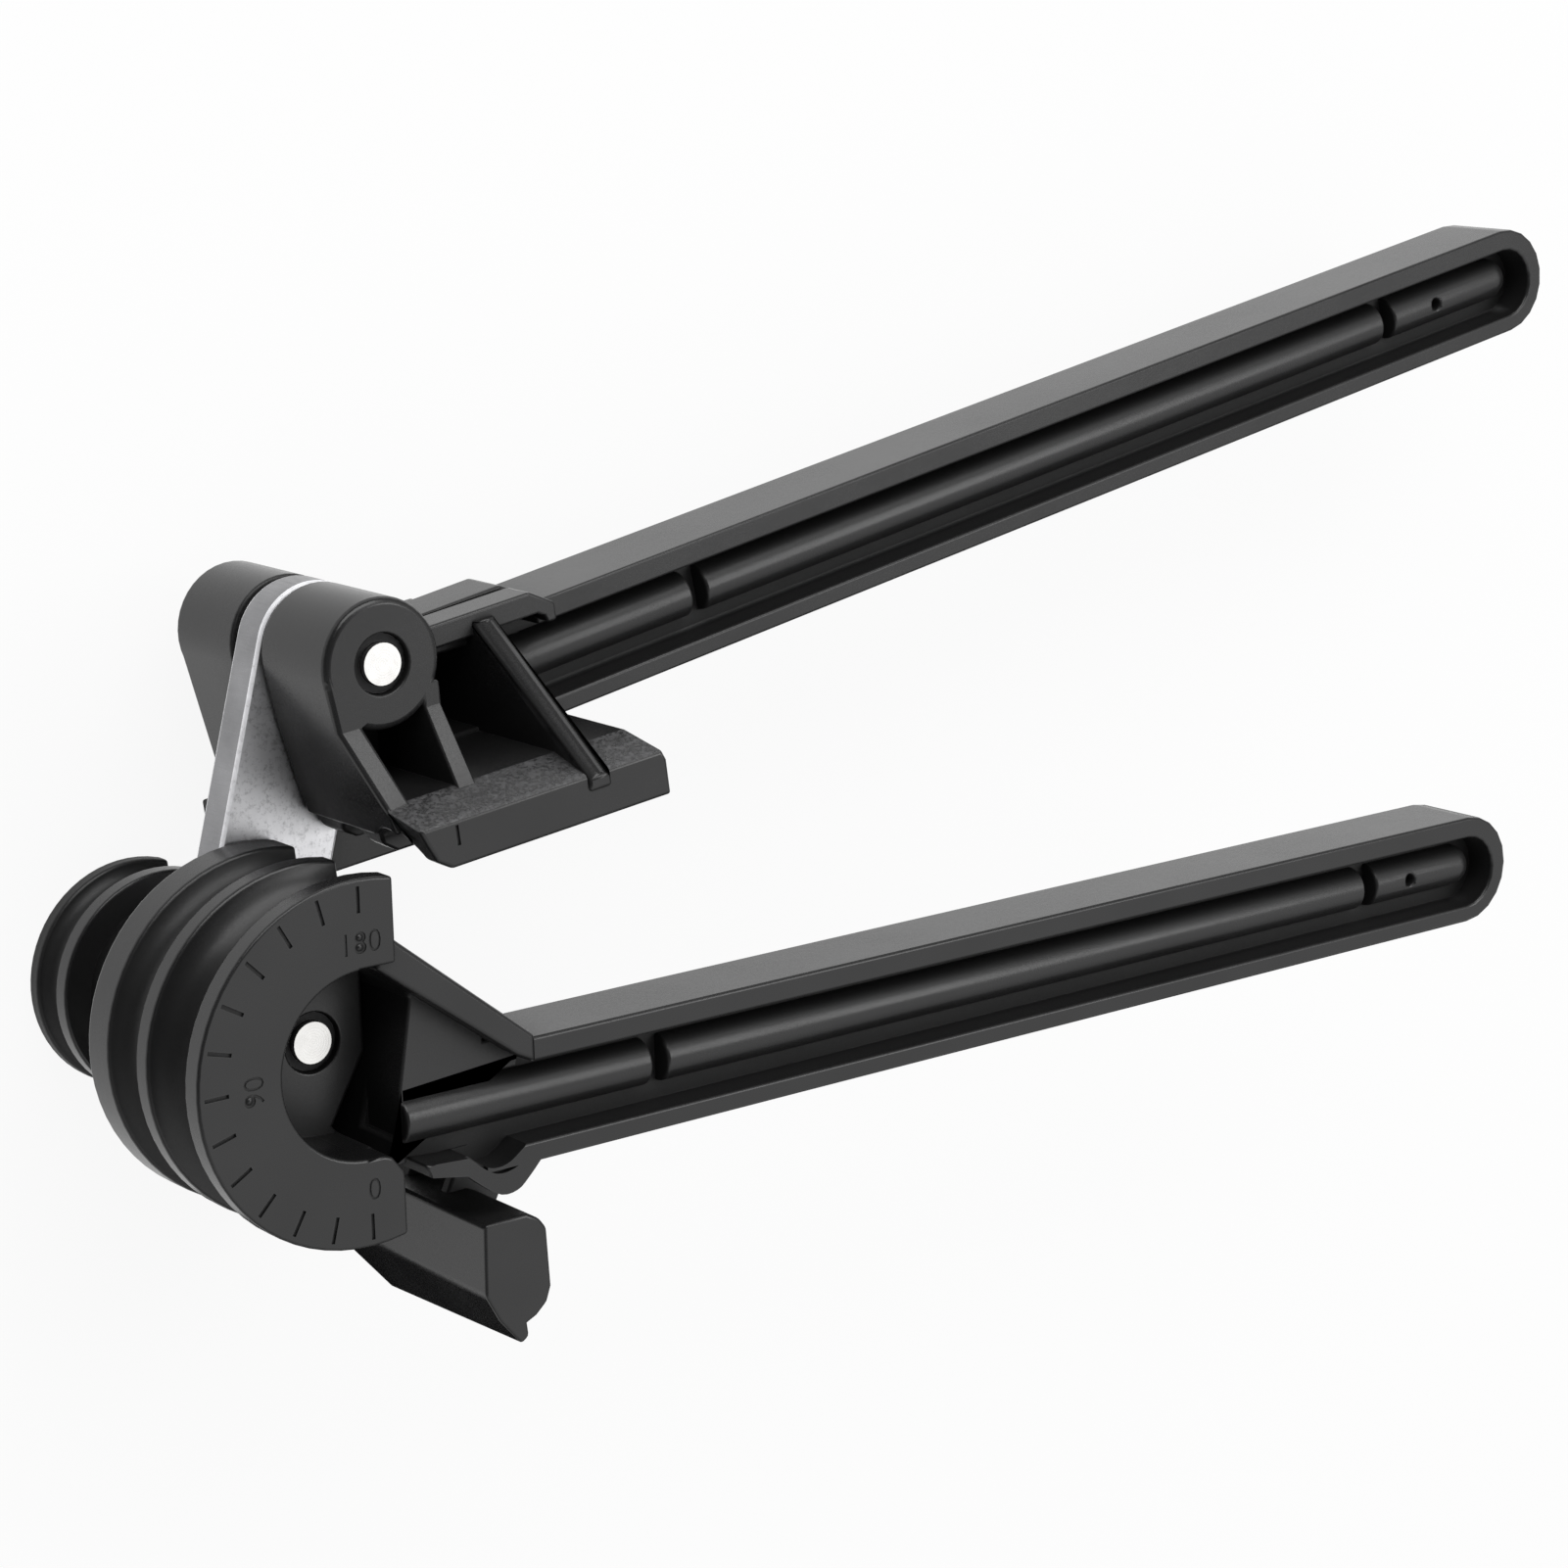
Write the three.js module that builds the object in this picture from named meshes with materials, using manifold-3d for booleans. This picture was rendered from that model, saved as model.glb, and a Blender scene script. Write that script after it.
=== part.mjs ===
// Hand bender for thin tube: two channel handles, a forming wheel with three tube grooves,
// a bending shoe on a swinging link and a tube latch. Millimetres, +Z up.
// The bender lies on its back: the pivot axis is vertical and the dial faces up.
import * as THREE from 'three';
import { mergeVertices } from 'three/addons/utils/BufferGeometryUtils.js';
import Module from 'manifold-3d';

const wasm = await Module();
wasm.setup();

// Driving dimensions. Depths are measured down from the dial's face.
const toolDepth = 57.5;
const pivotSpacing = 47.6;
const linkLean = 15.3;
const shoeTurn = 7;
const upperHandleTurn = 3.6;
const pinRadius = 2.68;
const earRadius = 8.34;
const fitGap = 0.2;
const seatGap = 0.1;
const cutPast = 2;
const weld = 0.6;
const mergeGap = 0.0001;

// Facets.
const wheelFacets = 64;
const earFacets = 40;
const pinFacets = 32;
const grooveSteps = 8;
const roundSteps = 10;
const linkEndSteps = 20;
const waveSteps = 14;
const quarterTurn = Math.PI / 2;
const fullTurn = Math.PI * 2;
const half = 0.5;

// Forming wheel: tube grooves and rims.
const frontRim = 23.25;
const midRim = 22.8;
const rearRim = 15.2;
const largeGroove = { depth: 8, radius: 4.9 };
const mediumGroove = { depth: 19.1, radius: 3.4 };
const smallGroove = { depth: 52.95, radius: 2.45 };
const frontWheelBack = 27.6;
const rearWheelFront = 47.8;
const wheelEdge = 5;
const hubRadius = 11.5;
const hubFront = 34.6;

// Dial: the C-shaped window with the pivot boss at its floor.
const windowRadius = 11.9;
const windowCentre = { x: 0.3, y: -0.1 };
const bossDepth = 12.2;
const openingFloor = 22.5;
const bossEdge = { x: 7.45, high: 9.2, low: -2.5, footX: 2.4, footY: -11.4 };
const openingEdge = { topX: 9.4, topY: 5.4, footX: 5.8, footY: -15.2, innerX: 5.4 };
const channelLeft = 8.1;
const armCorner = 3.4;
const armShelf = -12.1;

// Root of the lower handle, its gusset and the bridge to the rear wheel.
const gusset = { depth: 1.2, leftX: 3, leftLow: 11, leftHigh: 15.6, highX: 4.2 };
const gussetEnd = { x: 25.6, high: -1.6, low: -5.2, backX: 22.8, backY: -3.8 };
const triangleDepth = 4.5;
const webRight = 25;
const webLow = -6.4;
const rootRight = 20;
const rootLow = -15.6;
const rootTop = 2.6;
const wallTopX = 10.6;
const wallTopY = 9.4;
const bridge = { left: 9.2, low: -15.5, high: -1.5 };
const rearPlate = { low: -12.4, high: 3.5, taperX: 12 };

// Lower handle.
const lowerFront = 1.5;
const lowerBack = 13.3;
const lowerTop = -2.03;
const lowerBottom = -18.2;
const lowerEnd = 195.8;
const topLip = 3.1;
const bottomLip = 2.5;
const channelDepth = 4.7;
const beadRadius = 3.2;
const beadGap = 2.4;
const beadBreaks = [45, 175.4];
const hangHoleX = 185;
const hangHoleRadius = 0.9;

// Lip that bulges down in front of the tube's path.
const bulgeBack = 3;
const lip = {
  start: { x: 8.9, y: -15.2 },
  foot: { x: 9.5, y: -17 },
  run: { x: 15, y: -18 },
  dipLeft: { x: 19.4, y: -21.3 },
  dipRight: { x: 22.3, y: -21.4 },
  rise: { x: 24.2, y: -20 },
  endX: 26,
};
const lipHollow = {
  foot: { x: 10.4, y: -15.4 },
  run: { x: 15.2, y: -15.7 },
  dipLeft: { x: 19, y: -18.5 },
  dipRight: { x: 22.2, y: -18.4 },
  rise: { x: 24.6, y: -16.6 },
  endX: 25.6,
};
const lipPocket = {
  left: { x: 15.6, y: -15.7 },
  dipLeft: { x: 18.2, y: -17.6 },
  dipRight: { x: 21, y: -17.6 },
  right: { x: 24, y: -15.7 },
};

// Latch and its hinge.
const latchPivot = { x: 30, y: -12.6 };
const latchPinRadius = 1.9;
const latchRing = 4.2;
const latchFront = 0;
const latchBlockBack = 30.5;
const latchRise = 7.5;
const latchDrop = 0.9;
const latchNeckFront = { from: 13.6, to: 15.4 };
const latchNeckRear = { from: 22.8, to: 26.4 };
const latchNeckFoot = { x: 21.6, y: -29, halfWidth: 3.9 };
const latchLug = { from: 15.7, to: 22.5, high: -3, rightX: 27 };
const latchHead = { radius: 2.6, from: 12, to: 13.4 };
const latchClip = { radius: 3.4, from: 26.6, to: 27.3 };
const latchPinBack = 27.6;
const latch = {
  left: 16.2,
  top: -24.4,
  shoulder: { x: 22.5, y: -24.3 },
  roundA: { x: 24.4, y: -25.2 },
  roundB: { x: 25.5, y: -26.7 },
  right: { x: 25.9, y: -34.6 },
  roundC: { x: 25.2, y: -36.6 },
  roundD: { x: 23.6, y: -38 },
  neck: { x: 22.1, y: -38.7 },
  tabRight: { x: 22.3, y: -40.5 },
  tabTip: { x: 21.1, y: -41.3 },
  tabLeft: { x: 18, y: -37.5 },
  leftFoot: { x: 16, y: -33.8 },
};

// Link, washers and retaining rings.
const linkFront = 27.9;
const linkBack = 33.4;
const linkHalfWidth = 8.35;
const washer = { from: 33.5, to: 34.5, radius: 6.4 };
const counterbore = { radius: 3.9, depth: 1.7 };
const retainer = { radius: 3.75, thickness: 0.8 };
const mainPinBack = toolDepth;
const upperPinBack = 48.1;

// Upper casting, about the upper pin, with x along the shoe and y away from the wheel.
const earFront = 12.2;
const earBack = 27.3;
const rearEarFront = 34.6;
const rearEarBack = 48.3;
const flank = { topX: -earRadius, midX: -7.7, midY: -7, footX: -6.2, footY: -16, baseX: -5.2, baseY: -20.5 };
const flankWidth = 3.4;
const ribFoot = { y: -16.4, depth: 6 };
const midRib = { leftTop: 5.3, rightTop: 7.6, leftFoot: 4.3, rightFoot: 7, top: -4 };
const ridge = { left: 19.6, right: 23.1, top: -1.1, topDepth: 21, knee: -18.3, tip: -20.2 };
const backWall = { depth: 24, right: 33, top: -0.8 };
const shoe = { front: 0.4, right: 32, top: -16, lipTop: -18, bottom: -24, slope: 7, corner: 1.4 };
const shoeLeft = { top: -6.2, midX: -4.5, midY: -20.2, lowX: -3.4, lowY: -22.6, footX: -1.4 };
const roof = { front: 22, left: 3, leftTop: -0.4, peak: 29, peakTop: 0.4, right: 32.6, rightTop: -1.8 };
const roofLow = {
  left: -3.6,
  notch: { x: 29.8, y: -2.7 },
  hookIn: { x: 30.8, y: -3.2 },
  hookFoot: { x: 31.1, y: -4.2 },
};
const pocketFloor = 33;
const pocketCut = { left: 10.4, low: -15.5, high: -4.6 };
const channelTop = -3.3;
const forkLeft = 9.2;
const forkBottom = -17.6;
const forkRear = { right: 27, top: -3.4, low: -16.5 };
const rearFlank = { topX: -earRadius, footX: -6, footY: -16.3, baseX: -5, baseY: -24 };
const rearShoe = { left: -4, leftLow: -29.5, toe: -2, right: 19, bottom: -32, top: -24.5 };
const rearWebRight = 15;

// Upper handle, in a frame turned by its own angle.
const upperFront = 24;
const upperBack = 36.5;
const upperHalf = 7.9;
const upperOriginY = -11.46;
const upperStart = 11;
const upperEnd = 216.4;
const upperChannelStart = 22;
const upperChannelDepth = 5;
const upperBeadBreaks = [57.2, 191];
const upperHangHoleX = 202.6;

// Surface colours.
const paint = { color: 0x1d1d1f, roughness: 0.55, metalness: 0.1 };
const darkPaint = { color: 0x1a1a1c, roughness: 0.6, metalness: 0.1 };
const steel = { color: 0xd8d7d4, roughness: 0.28, metalness: 1 };
const chrome = { color: 0xe4e4e6, roughness: 0.08, metalness: 1 };
const blackSteel = { color: 0x121213, roughness: 0.45, metalness: 0.6 };

// Solids from three.js geometry.
function solid(geometry) {
  const flat = geometry.index ? geometry.toNonIndexed() : geometry;
  const points = new THREE.BufferGeometry();
  points.setAttribute('position', flat.getAttribute('position'));
  const merged = mergeVertices(points, mergeGap);
  const corners = merged.index.array;
  const kept = [];
  for (let i = 0; i < corners.length; i += 3) {
    const [a, b, c] = [corners[i], corners[i + 1], corners[i + 2]];
    if (a !== b && b !== c && c !== a) kept.push(a, b, c);
  }
  return new wasm.Manifold(new wasm.Mesh({
    numProp: 3,
    vertProperties: new Float32Array(merged.attributes.position.array),
    triVerts: new Uint32Array(kept),
  }));
}

// Geometry of a finished solid, for its mesh.
function geometryOf(body) {
  const data = body.getMesh();
  const geometry = new THREE.BufferGeometry();
  geometry.setAttribute('position', new THREE.BufferAttribute(data.vertProperties, data.numProp));
  geometry.setIndex(new THREE.BufferAttribute(data.triVerts, 1));
  const shown = geometry.toNonIndexed();
  shown.computeVertexNormals();
  return shown;
}

function join(...parts) {
  return parts.reduce((sum, part) => sum.add(part));
}

function cut(body, ...tools) {
  return tools.reduce((left, tool) => left.subtract(tool), body);
}

// Closed outline from points {x, y}.
function outline(points) {
  return new THREE.Shape(points.map((p) => new THREE.Vector2(p.x, p.y)));
}

// Flat piece: an outline extruded from one depth to another.
function slab(points, from, to) {
  const geometry = new THREE.ExtrudeGeometry(outline(points), { depth: to - from, bevelEnabled: false });
  geometry.translate(0, 0, toolDepth - to);
  return solid(geometry);
}

// Upright cylinder from one depth to another.
function disc(centre, radius, from, to, facets) {
  const geometry = new THREE.CylinderGeometry(radius, radius, to - from, facets);
  geometry.rotateX(quarterTurn);
  geometry.translate(centre.x, centre.y, toolDepth - (from + to) * half);
  return solid(geometry);
}

// Cylinder lying along x.
function rod(fromX, toX, y, depth, radius, facets) {
  const geometry = new THREE.CylinderGeometry(radius, radius, toX - fromX, facets);
  geometry.rotateZ(quarterTurn);
  geometry.translate((fromX + toX) * half, y, toolDepth - depth);
  return solid(geometry);
}

// Round end of a rod that lies along x.
function ball(x, y, depth, radius) {
  const geometry = new THREE.SphereGeometry(radius, pinFacets, roundSteps);
  geometry.rotateZ(quarterTurn);
  geometry.translate(x, y, toolDepth - depth);
  return solid(geometry);
}

// Smooth curve through a few points.
function wave(points) {
  return new THREE.SplineCurve(points.map((p) => new THREE.Vector2(p.x, p.y))).getPoints(waveSteps);
}

function rect(left, right, low, high) {
  return [{ x: left, y: low }, { x: right, y: low }, { x: right, y: high }, { x: left, y: high }];
}

// Side profile, as {y, depth} points, extruded along x.
function profile(points, left, right) {
  const shape = outline(points.map((p) => ({ x: -(toolDepth - p.depth), y: p.y })));
  const geometry = new THREE.ExtrudeGeometry(shape, { depth: right - left, bevelEnabled: false });
  geometry.rotateY(quarterTurn);
  geometry.translate(left, 0, 0);
  return solid(geometry);
}

// Points of an arc about a centre, from one angle to another.
function arc(centre, radius, start, end, steps) {
  const points = [];
  for (let i = 0; i <= steps; i += 1) {
    const angle = start + ((end - start) * i) / steps;
    points.push({ x: centre.x + radius * Math.cos(angle), y: centre.y + radius * Math.sin(angle) });
  }
  return points;
}

// Half-round groove of a wheel, as radius and depth points for a turned profile.
function groovePoints(groove, rimHere, rimNext) {
  const points = [];
  for (let i = 0; i <= grooveSteps; i += 1) {
    const angle = (Math.PI * i) / grooveSteps;
    const rim = i > grooveSteps * half ? rimNext : rimHere;
    const radius = rim - groove.radius * Math.sin(angle);
    points.push({ radius, depth: groove.depth - groove.radius * Math.cos(angle) });
  }
  return points;
}

// Turned solid from radius and depth points, closed on the axis.
function turned(points) {
  const first = points[0];
  const last = points[points.length - 1];
  const loop = [{ radius: 0, depth: first.depth }, ...points, { radius: 0, depth: last.depth }];
  const line = loop.map((p) => new THREE.Vector2(p.radius, toolDepth - p.depth)).reverse();
  const geometry = new THREE.LatheGeometry(line, wheelFacets);
  geometry.rotateX(quarterTurn);
  return solid(geometry);
}

// Bar with a round end, tapering from a foot to a ring.
function arm(foot, footHalf, ring, ringRadius, from, to) {
  const run = new THREE.Vector2(ring.x - foot.x, ring.y - foot.y).normalize();
  const side = { x: -run.y, y: run.x };
  const points = [
    { x: foot.x - side.x * footHalf, y: foot.y - side.y * footHalf },
    { x: ring.x - side.x * ringRadius, y: ring.y - side.y * ringRadius },
    { x: ring.x + side.x * ringRadius, y: ring.y + side.y * ringRadius },
    { x: foot.x + side.x * footHalf, y: foot.y + side.y * footHalf },
  ];
  return join(slab(points, from, to), disc(ring, ringRadius, from, to, earFacets));
}

const mainAxis = { x: 0, y: 0 };

// Forming wheel.
function frontWheel() {
  const wheel = turned([
    { radius: frontRim, depth: 0 },
    ...groovePoints(largeGroove, frontRim, midRim),
    ...groovePoints(mediumGroove, midRim, midRim),
    { radius: midRim, depth: frontWheelBack },
  ]);
  const kept = slab(rect(-frontRim - cutPast, wheelEdge, -frontRim - cutPast, frontRim + cutPast),
    -cutPast, frontWheelBack + cutPast);
  const shelf = { x: wheelEdge - armCorner, y: armShelf - armCorner };
  const corner = slab([
    { x: windowCentre.x, y: armShelf },
    ...arc(shelf, armCorner, quarterTurn, 0, roundSteps),
    { x: wheelEdge + cutPast, y: shelf.y },
    { x: wheelEdge + cutPast, y: armShelf + cutPast },
    { x: windowCentre.x, y: armShelf + cutPast },
  ], -cutPast, bossDepth);
  const window = disc(windowCentre, windowRadius, -cutPast, bossDepth, wheelFacets);
  const clipped = wheel.intersect(kept);
  return cut(clipped, window, corner, windowMouth());
}

// Space between the window and the deep opening, in front of the boss.
function windowMouth() {
  return slab(rect(0, bossEdge.x, armShelf, windowRadius), -cutPast, bossDepth);
}

function pivotBoss() {
  return slab([
    { x: 0, y: bossEdge.high },
    { x: 0, y: bossEdge.footY },
    { x: bossEdge.footX, y: bossEdge.footY },
    { x: bossEdge.x, y: bossEdge.low },
    { x: bossEdge.x, y: bossEdge.high },
  ], bossDepth, frontWheelBack);
}

// Deep opening between the boss and the handle's root.
function deepOpening() {
  return slab([
    { x: bossEdge.x, y: bossEdge.high },
    { x: bossEdge.x, y: bossEdge.low },
    { x: bossEdge.footX, y: bossEdge.footY },
    { x: openingEdge.innerX, y: openingEdge.footY },
    { x: openingEdge.footX, y: openingEdge.footY },
    { x: openingEdge.topX, y: openingEdge.topY },
  ], -cutPast, openingFloor);
}

// Wall and floor that tie the wheel, the handle and the bridge together.
function handleRoot() {
  const points = [
    { x: 0, y: rootLow },
    { x: rootRight, y: rootLow },
    { x: rootRight, y: rootTop },
    { x: wallTopX, y: wallTopY },
    { x: gusset.highX, y: gusset.leftHigh },
    { x: 0, y: gusset.leftHigh },
  ];
  const block = slab(points, triangleDepth, frontWheelBack);
  const channel = slab(rect(channelLeft, rootRight + cutPast, lowerBottom + bottomLip, webLow),
    -cutPast, lowerFront + channelDepth);
  return cut(block, channel, windowMouth());
}

function gussetBar() {
  return slab([
    { x: gusset.leftX, y: gusset.leftLow },
    { x: gussetEnd.backX, y: gussetEnd.backY },
    { x: gussetEnd.x, y: gussetEnd.low },
    { x: gussetEnd.x, y: gussetEnd.high },
    { x: gusset.highX, y: gusset.leftHigh },
    { x: gusset.leftX, y: gusset.leftHigh },
  ], gusset.depth, lowerBack);
}

function bridgeBlock() {
  return slab(rect(bridge.left, rootRight, bridge.low, bridge.high),
    frontWheelBack - weld, rearWheelFront + weld);
}

function rearWheel() {
  const wheel = turned([
    { radius: rearRim, depth: rearWheelFront },
    ...groovePoints(smallGroove, rearRim, rearRim),
    { radius: rearRim, depth: toolDepth },
  ]);
  const kept = slab(rect(-rearRim - cutPast, wheelEdge, -rearRim - cutPast, rearRim + cutPast),
    rearWheelFront - cutPast, toolDepth + cutPast);
  const plate = slab([
    { x: 0, y: rearPlate.low },
    { x: rootRight, y: rearPlate.low },
    { x: rootRight, y: bridge.high },
    { x: rearPlate.taperX, y: rearPlate.high },
    { x: 0, y: rearPlate.high },
  ], rearWheelFront, toolDepth);
  const hub = disc(mainAxis, hubRadius, hubFront, rearWheelFront + weld, earFacets);
  return join(wheel.intersect(kept), plate, hub);
}

// Outline of a channel handle with a round far end.
function handleOutline(start, end, low, high) {
  const radius = (high - low) * half;
  const centre = { x: end, y: (high + low) * half };
  return [
    { x: start, y: low },
    ...arc(centre, radius, -quarterTurn, quarterTurn, roundSteps),
    { x: start, y: high },
  ];
}

// Handle with a channel and a broken bead on both faces.
function channelHandle(size) {
  const { start, end, low, high, front, back, channel, channelStart } = size;
  const bar = slab(handleOutline(start, end, low, high), front, back);
  const inner = handleOutline(channelStart, end, low + bottomLip, high - topLip);
  const frontCut = slab(inner, front - cutPast, front + channel);
  const backCut = slab(inner, back - channel, back + cutPast);
  const beadY = (low + high) * half;
  const beads = [];
  let from = channelStart - weld;
  for (const stop of [...size.breaks, end]) {
    for (const depth of [front + channel, back - channel]) {
      beads.push(rod(from, stop, beadY, depth, beadRadius, pinFacets));
    }
    from = stop + beadGap;
  }
  for (const depth of [front + channel, back - channel]) {
    beads.push(ball(end, beadY, depth, beadRadius));
  }
  const inside = slab(handleOutline(start, end, low, high), front, back);
  const hole = disc({ x: size.hole, y: beadY }, hangHoleRadius, front - cutPast, back + cutPast, pinFacets);
  return cut(join(cut(bar, frontCut, backCut), join(...beads).intersect(inside)), hole);
}

// Lower handle, its upper lip set back to the web near the root.
function lowerHandle() {
  const handle = channelHandle({
    start: rootRight - cutPast,
    end: lowerEnd,
    low: lowerBottom,
    high: lowerTop,
    front: lowerFront,
    back: lowerBack,
    channel: channelDepth,
    channelStart: rootRight - cutPast - weld,
    breaks: beadBreaks,
    hole: hangHoleX,
  });
  const left = rootRight - cutPast - weld;
  const setBack = slab(rect(left, webRight, lowerTop - topLip - weld, lowerTop + cutPast),
    -cutPast, triangleDepth);
  const web = slab(rect(left, webRight, webLow, lowerTop - topLip + weld), triangleDepth,
    lowerFront + channelDepth + weld);
  return join(cut(handle, setBack), web);
}

// Pocket behind the bulge, down to the channel's floor.
function lipPocketSpace() {
  const top = lowerBottom + bottomLip + weld;
  return slab([
    { x: lipPocket.left.x, y: top },
    ...wave([lipPocket.left, lipPocket.dipLeft, lipPocket.dipRight, lipPocket.right]),
    { x: lipPocket.right.x, y: top },
  ], -cutPast, lowerFront + channelDepth);
}

// Lower edge of the root with the bulge in front of the tube's path.
function lowerLip() {
  const edge = [lip.start, lip.foot, lip.run, { x: lip.endX, y: lowerBottom }];
  const deep = slab([
    ...edge,
    { x: lipHollow.endX, y: lowerBottom + bottomLip },
    lipHollow.run,
    lipHollow.foot,
  ], lowerFront, lowerBack);
  const dip = slab([
    ...wave([lip.run, lip.dipLeft, lip.dipRight, lip.rise, { x: lip.endX, y: lowerBottom }]),
    { x: lipHollow.endX, y: lowerBottom + bottomLip },
    lipHollow.run,
  ], lowerFront, bulgeBack);
  const hollow = slab([
    ...wave([lipHollow.run, lipHollow.dipLeft, lipHollow.dipRight, lipHollow.rise]),
    { x: lipHollow.endX, y: lowerBottom + bottomLip + cutPast },
    { x: lipHollow.run.x, y: lowerBottom + bottomLip + cutPast },
  ], lowerFront - cutPast, bulgeBack - weld);
  return cut(join(deep, dip), hollow);
}

// Left edge of the channel's root, with the bead carried to it.
function rootBead() {
  const beadY = (lowerTop + lowerBottom) * half;
  return rod(channelLeft - weld, rootRight, beadY, lowerFront + channelDepth, beadRadius, pinFacets);
}

function latchLugBody() {
  const ring = disc(latchPivot, latchRing, latchLug.from, latchLug.to, earFacets);
  const plate = slab([
    { x: rootRight - weld, y: latchPivot.y - latchRing },
    { x: latchPivot.x, y: latchPivot.y - latchRing },
    { x: latchPivot.x + latchRing, y: latchPivot.y },
    { x: latchLug.rightX, y: latchLug.high },
    { x: rootRight - weld, y: latchLug.high },
  ], latchLug.from, latchLug.to);
  return join(ring, plate);
}

function pinBore(centre, radius, from, to) {
  return disc(centre, radius, from, to, pinFacets);
}

function lowerCasting() {
  const root = cut(join(handleRoot(), frontWheel(), pivotBoss(), rootBead()), deepOpening());
  const whole = join(root, gussetBar(), bridgeBlock(), rearWheel(), lowerHandle(), lowerLip(),
    latchLugBody());
  return cut(
    whole,
    lipPocketSpace(),
    pinBore(mainAxis, pinRadius + fitGap, -cutPast, toolDepth + cutPast),
    pinBore(mainAxis, counterbore.radius, bossDepth - cutPast, bossDepth + counterbore.depth),
    pinBore(mainAxis, counterbore.radius, toolDepth - counterbore.depth, toolDepth + cutPast),
    pinBore(latchPivot, latchPinRadius + fitGap, latchLug.from - cutPast, latchLug.to + cutPast),
  );
}

// Upper casting.
function flankWall() {
  const side = profile([
    { y: 0, depth: earFront },
    { y: flank.midY, depth: earFront },
    { y: ribFoot.y, depth: ribFoot.depth },
    { y: flank.baseY, depth: ribFoot.depth },
    { y: flank.baseY, depth: earBack },
    { y: 0, depth: earBack },
  ], flank.topX - cutPast, 0);
  const plan = slab([
    { x: flank.topX, y: 0 },
    { x: flank.midX, y: flank.midY },
    { x: flank.footX, y: flank.footY },
    { x: flank.baseX, y: flank.baseY },
    { x: flank.baseX + flankWidth, y: flank.baseY },
    { x: flank.footX + flankWidth, y: flank.footY },
    { x: flank.midX + flankWidth, y: flank.midY },
    { x: flank.topX + flankWidth, y: 0 },
  ], 0, earBack);
  return side.intersect(plan);
}

function middleRib() {
  const side = profile([
    { y: midRib.top, depth: earFront },
    { y: flank.midY, depth: earFront },
    { y: ribFoot.y, depth: ribFoot.depth },
    { y: ribFoot.y, depth: earBack },
    { y: midRib.top, depth: earBack },
  ], 0, ridge.left);
  const plan = slab([
    { x: midRib.leftTop, y: midRib.top },
    { x: midRib.leftFoot, y: ribFoot.y },
    { x: midRib.rightFoot, y: ribFoot.y },
    { x: midRib.rightTop, y: midRib.top },
  ], 0, earBack);
  return side.intersect(plan);
}

function ridgeRib() {
  return profile([
    { y: ridge.top, depth: ridge.topDepth },
    { y: ridge.knee, depth: 0 },
    { y: ridge.tip, depth: 0 },
    { y: ridge.tip, depth: earBack },
    { y: ridge.top, depth: earBack },
  ], ridge.left, ridge.right);
}

function shoeBlock() {
  const side = profile([
    { y: shoe.lipTop, depth: shoe.front },
    { y: shoe.bottom, depth: shoe.front },
    { y: shoe.bottom, depth: earBack },
    { y: shoe.top, depth: earBack },
    { y: shoe.top, depth: shoe.slope },
  ], shoeLeft.top - cutPast, shoe.right + cutPast);
  const plan = slab([
    { x: shoeLeft.top, y: shoe.top },
    { x: shoeLeft.midX, y: shoeLeft.midY },
    { x: shoeLeft.lowX, y: shoeLeft.lowY },
    { x: shoeLeft.footX, y: shoe.bottom },
    { x: shoe.right, y: shoe.bottom },
    { x: shoe.right, y: shoe.lipTop - shoe.corner },
    { x: shoe.right - shoe.corner, y: shoe.top },
  ], 0, earBack);
  return side.intersect(plan);
}

function roofPlate() {
  return slab([
    { x: roof.left, y: roof.leftTop },
    { x: roof.left, y: roofLow.left },
    roofLow.notch,
    roofLow.hookIn,
    roofLow.hookFoot,
    { x: roof.right, y: roofLow.hookFoot.y },
    { x: roof.right, y: roof.rightTop },
    { x: roof.peak, y: roof.peakTop },
  ], roof.front, earBack);
}

function pocketWall() {
  return slab([
    { x: flank.topX, y: 0 },
    { x: flank.midX, y: flank.midY },
    { x: flank.baseX, y: flank.baseY },
    { x: ridge.left + weld, y: flank.baseY },
    { x: ridge.left + weld, y: backWall.top },
    { x: 0, y: backWall.top },
  ], backWall.depth, earBack);
}

// Bridge between the two ears, clear of the link.
function fork() {
  const middle = slab(rect(forkLeft, ridge.left + weld, forkBottom, backWall.top),
    earBack - weld, upperBack);
  const web = slab([
    { x: forkLeft, y: backWall.top },
    { x: forkLeft, y: forkBottom },
    { x: backWall.right, y: forkBottom },
    { x: backWall.right, y: roof.rightTop },
    { x: roof.peak, y: roof.peakTop },
  ], upperFront + upperChannelDepth, upperBack);
  const rear = slab([
    { x: forkLeft, y: forkRear.top },
    { x: forkLeft, y: forkRear.low },
    { x: forkRear.right, y: forkRear.low },
    { x: backWall.right - cutPast, y: upperOriginY },
    { x: forkRear.right, y: forkRear.top },
  ], upperBack - weld, rearEarBack);
  return join(middle, web, rear);
}

function rearWeb() {
  const web = slab([
    { x: rearFlank.topX, y: 0 },
    { x: rearFlank.footX, y: rearFlank.footY },
    { x: rearFlank.baseX, y: rearFlank.baseY },
    { x: rearShoe.left, y: rearShoe.top - weld },
    { x: rearWebRight, y: rearShoe.top - weld },
    { x: rearWebRight, y: forkRear.top },
    { x: 0, y: 0 },
  ], rearEarFront, rearEarBack);
  const pad = slab([
    { x: rearShoe.left, y: rearShoe.top },
    { x: rearShoe.left, y: rearShoe.leftLow },
    { x: rearShoe.toe, y: rearShoe.bottom },
    { x: rearShoe.right, y: rearShoe.bottom },
    { x: rearShoe.right, y: rearShoe.top },
  ], rearEarFront, toolDepth);
  return join(web, pad);
}

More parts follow.
